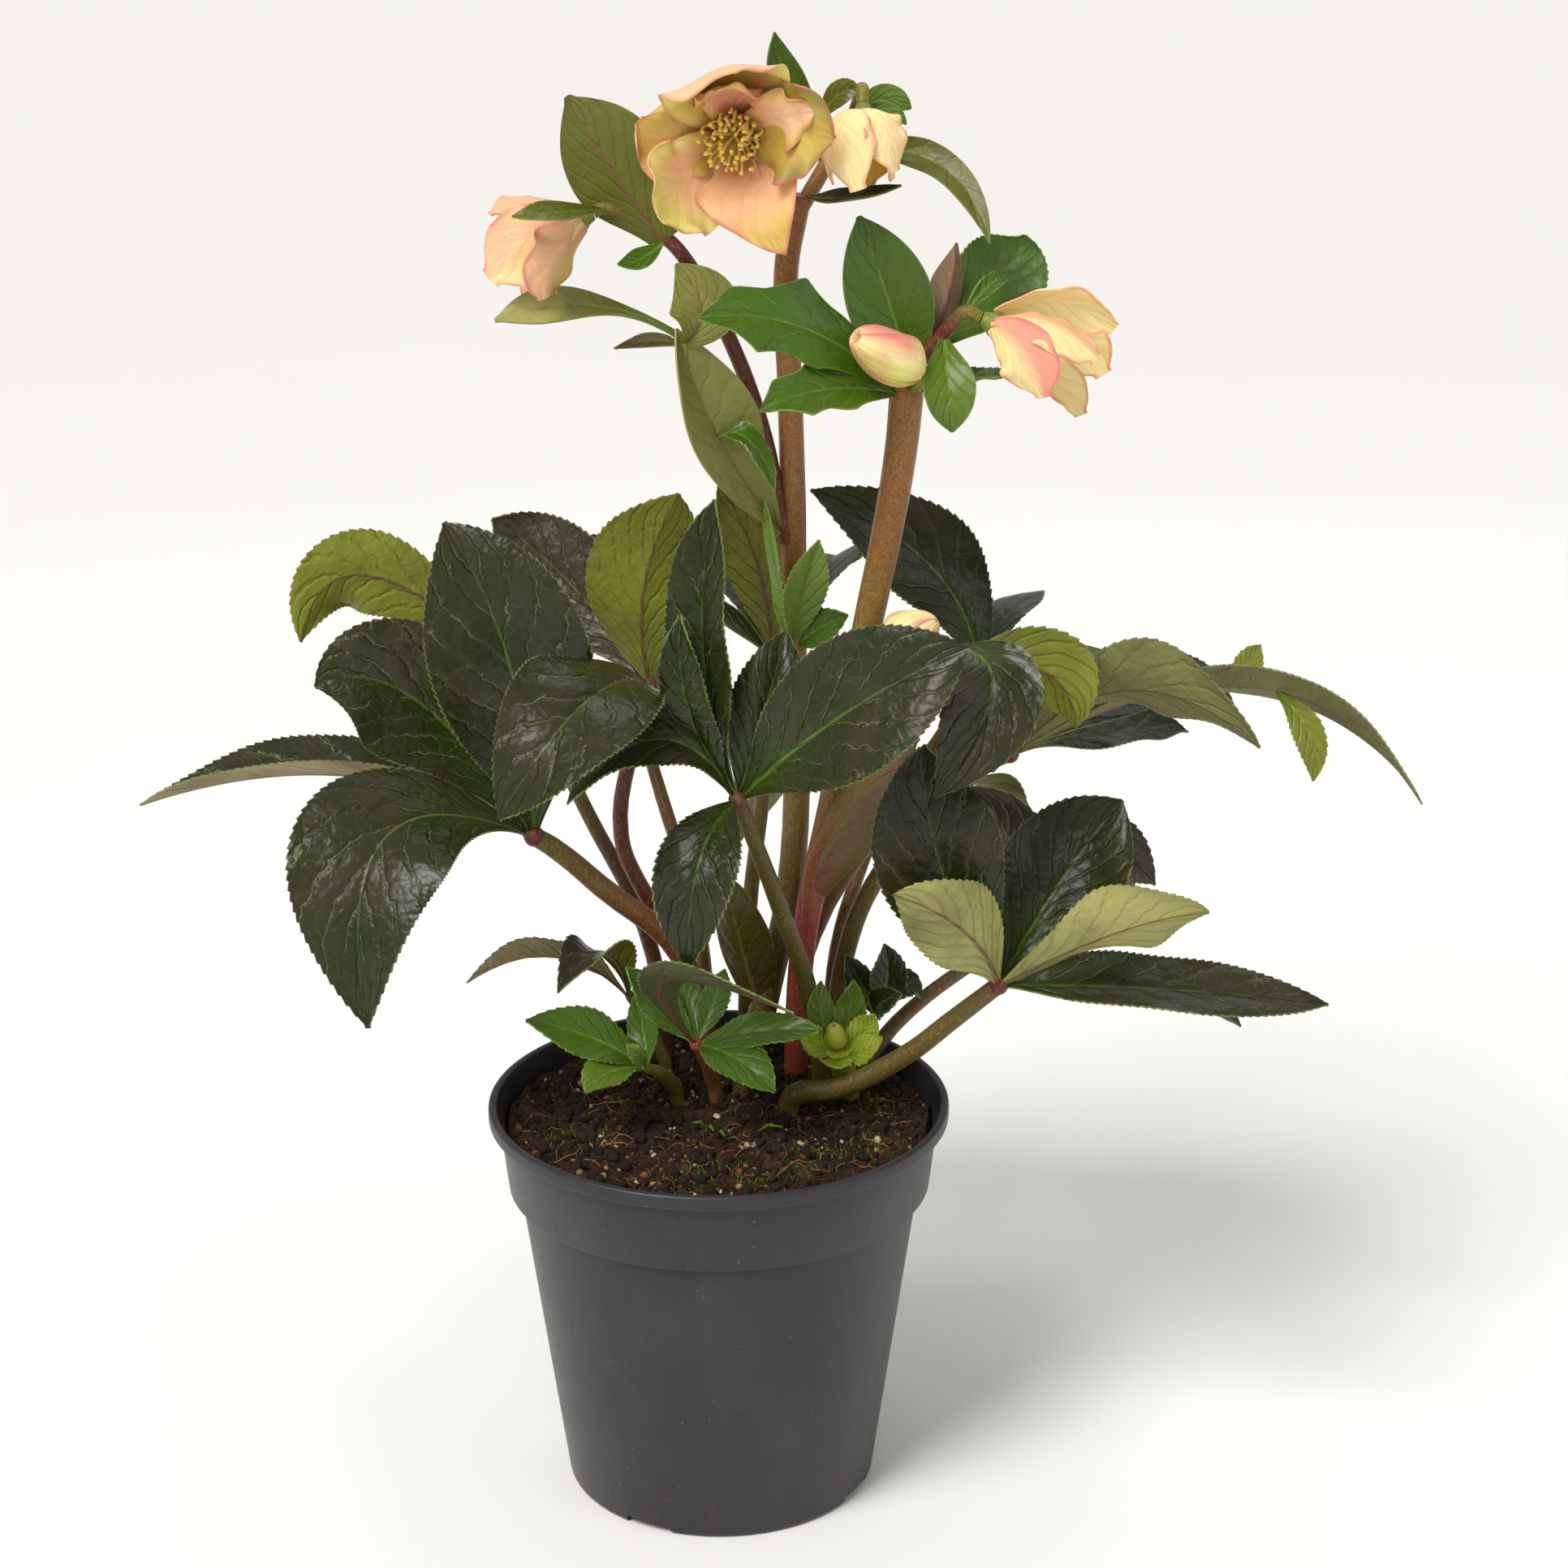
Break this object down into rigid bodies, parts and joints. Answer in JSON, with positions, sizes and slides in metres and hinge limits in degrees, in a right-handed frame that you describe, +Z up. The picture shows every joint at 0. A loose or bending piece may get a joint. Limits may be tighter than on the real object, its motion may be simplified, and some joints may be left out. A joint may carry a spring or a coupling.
{
  "type": "potted hellebore plant",
  "caption": "Flowering hellebore in a round tapered nursery pot: toothed dark leaves, speckled stems, cream-pink nodding flowers, buds and young shoots.",
  "frame": {"origin": "centre of the pot's flat base, where it stands on a surface", "axes": "+Z up along the pot's axis, +X to the picture's right, +Y away from the picture's viewer"},
  "size_m": [0.3536, 0.2056, 0.4081],
  "materials": {
    "tepal": "cream to peach petal with pink edges, soft satin; leather stands in for living plant tissue",
    "shoot": "yellow-green satin bracts; leather stands in for living plant tissue",
    "bud": "pale cream bud flushed pink, soft satin; leather stands in for living plant tissue",
    "leaf": "glossy leathery dark green leaf; leather stands in for living plant tissue",
    "husk": "dry brown stub of an old stalk",
    "pot": "charcoal grey moulded plastic, satin, slightly dusty",
    "soil": null,
    "stamen": "yellow matt stamens; leather stands in for living plant tissue",
    "stem": "fleshy ochre stem speckled red-brown, with green bracts; leather stands in for living plant tissue",
    "young_leaf": "fresh green satin leaf; leather stands in for living plant tissue"
  },
  "bodies": {
    "root": {"bloom_left": "tepal", "bloom_main": "tepal", "bloom_opening": "tepal", "bloom_right": "tepal", "bud_green": "shoot", "bud_low": "bud", "bud_pink": "bud", "flower_shoot": "shoot", "leaf_back_center": "leaf", "leaf_back_left": "leaf", "leaf_back_right": "leaf", "leaf_center": "leaf", "leaf_front": "leaf", "leaf_left": "leaf", "leaf_left_low": "leaf", "leaf_rear_left": "leaf", "leaf_rear_right": "leaf", "leaf_right_back": "leaf", "leaf_right_high": "leaf", "leaf_right_low": "leaf", "old_stalk": "husk", "pot": "pot", "soil": "soil", "stamens_left": "stamen", "stamens_main": "stamen", "stamens_opening": "stamen", "stamens_right": "stamen", "stem_center": "stem", "stem_right": "stem", "young_leaf_back": "young_leaf", "young_leaf_left": "young_leaf", "young_leaf_middle": "young_leaf"}
  },
  "joints": []
}
